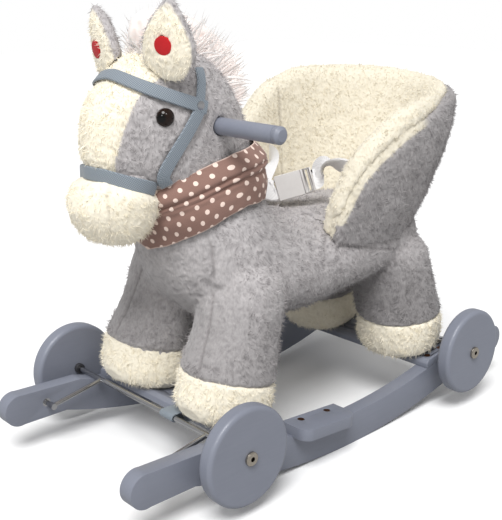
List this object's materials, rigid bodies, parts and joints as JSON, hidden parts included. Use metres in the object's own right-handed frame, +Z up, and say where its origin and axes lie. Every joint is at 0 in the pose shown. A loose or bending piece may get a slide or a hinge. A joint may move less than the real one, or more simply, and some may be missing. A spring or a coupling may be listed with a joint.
{
  "type": "ride on horse",
  "caption": "Plush ride-on horse with a padded bucket seat on wooden rockers, with folding wire brackets whose wheels swing under the rockers so that it rolls instead of rocking.",
  "frame": {"origin": "on the floor, under the middle of the bounding box", "axes": "the horse faces -Y, its left side is +X, +Z is up"},
  "size_m": [0.3362, 0.622, 0.5087],
  "materials": {
    "painted_wood": "satin paint",
    "bright_metal": "polished",
    "bronze_screws": "dull",
    "dark_plastic": "matte",
    "bare_wood": "bare",
    "red_plastic": "gloss",
    "grey_plush": "short pile",
    "cream_plush": "short pile",
    "pale_pile": "long pile",
    "blue_grey_webbing": "woven",
    "eye_plastic": "gloss",
    "dotted_cotton": "plain weave with dots",
    "white_webbing": "woven",
    "white_plastic": "satin"
  },
  "bodies": {
    "horse": {"rocker_left": "painted_wood", "rocker_right": "painted_wood", "front_crossbar": "painted_wood", "rear_crossbar": "painted_wood", "footrest_left": "painted_wood", "footrest_right": "painted_wood", "pivot_bushes": "bright_metal", "crossbar_screws": "bronze_screws", "footrest_screws": "bronze_screws", "front_lock_strap": "blue_grey_webbing", "rear_lock_strap": "blue_grey_webbing", "seat_board": "bare_wood", "backrest_board": "bare_wood", "neck_board": "bare_wood", "leg_posts": "bare_wood", "leg_bolts": "bright_metal", "handle_bar": "painted_wood", "sound_capsules": "dark_plastic", "body": "grey_plush", "head": "grey_plush", "muzzle": "cream_plush", "ear_left": "cream_plush", "ear_right": "cream_plush", "mane": "pale_pile", "tail": "pale_pile", "front_left_leg": "grey_plush", "front_right_leg": "grey_plush", "rear_left_leg": "grey_plush", "rear_right_leg": "grey_plush", "front_left_foot": "cream_plush", "front_right_foot": "cream_plush", "rear_left_foot": "cream_plush", "rear_right_foot": "cream_plush", "seat_shell": "grey_plush", "seat_lining": "cream_plush", "seat_cushion": "grey_plush", "eyes": "eye_plastic", "browband": "blue_grey_webbing", "noseband": "blue_grey_webbing", "cheek_straps": "blue_grey_webbing", "bridle_rivets": "bright_metal", "scarf": "dotted_cotton", "belt_left": "white_webbing", "belt_right": "white_webbing", "buckle_socket": "white_plastic"},
    "front_bracket": {"front_wheel_bracket": "bright_metal", "front_cap_nuts": "bright_metal", "front_axle_collars": "dark_plastic"},
    "rear_bracket": {"rear_wheel_bracket": "bright_metal", "rear_cap_nuts": "bright_metal", "rear_axle_collars": "dark_plastic"},
    "front_left_wheel": {"front_left_wheel": "painted_wood"},
    "front_right_wheel": {"front_right_wheel": "painted_wood"},
    "rear_left_wheel": {"rear_left_wheel": "painted_wood"},
    "rear_right_wheel": {"rear_right_wheel": "painted_wood"},
    "ear_button_left": {"ear_button_left": "red_plastic"},
    "ear_button_right": {"ear_button_right": "red_plastic"},
    "buckle_clip": {"buckle_clip": "white_plastic"}
  },
  "joints": [
    {"name": "front_bracket_fold", "type": "hinge", "parent": "horse", "child": "front_bracket", "pos_m": [0, -0.2585, 0.055], "axis": [1, 0, 0], "range_deg": [0, 321.5], "deforming": ["front_lock_strap"]},
    {"name": "rear_bracket_fold", "type": "hinge", "parent": "horse", "child": "rear_bracket", "pos_m": [0, 0.2585, 0.055], "axis": [-1, 0, 0], "range_deg": [0, 315.5], "deforming": ["rear_lock_strap"]},
    {"name": "front_left_wheel_spin", "type": "hinge", "parent": "front_bracket", "child": "front_left_wheel", "pos_m": [0.1556, -0.19116, 0.06757], "axis": [1, 0, 0], "continuous": true},
    {"name": "front_right_wheel_spin", "type": "hinge", "parent": "front_bracket", "child": "front_right_wheel", "pos_m": [-0.1556, -0.19116, 0.06757], "axis": [1, 0, 0], "continuous": true},
    {"name": "rear_left_wheel_spin", "type": "hinge", "parent": "rear_bracket", "child": "rear_left_wheel", "pos_m": [0.1556, 0.19263, 0.07381], "axis": [1, 0, 0], "continuous": true},
    {"name": "rear_right_wheel_spin", "type": "hinge", "parent": "rear_bracket", "child": "rear_right_wheel", "pos_m": [-0.1556, 0.19263, 0.07381], "axis": [1, 0, 0], "continuous": true},
    {"name": "ear_button_left_press", "type": "slide", "parent": "horse", "child": "ear_button_left", "axis": [-0.3705, 0.9079, 0.1963], "range_m": [0, 0.002], "stiffness_N_per_m": 500, "springref_m": -0.001},
    {"name": "ear_button_right_press", "type": "slide", "parent": "horse", "child": "ear_button_right", "axis": [0.2077, 0.9639, 0.1664], "range_m": [0, 0.002], "stiffness_N_per_m": 500, "springref_m": -0.001},
    {"name": "buckle_release", "type": "slide", "parent": "horse", "child": "buckle_clip", "axis": [0.6007, 0.7559, 0.2603], "range_m": [0, 0.02], "deforming": ["belt_left"]}
  ]
}
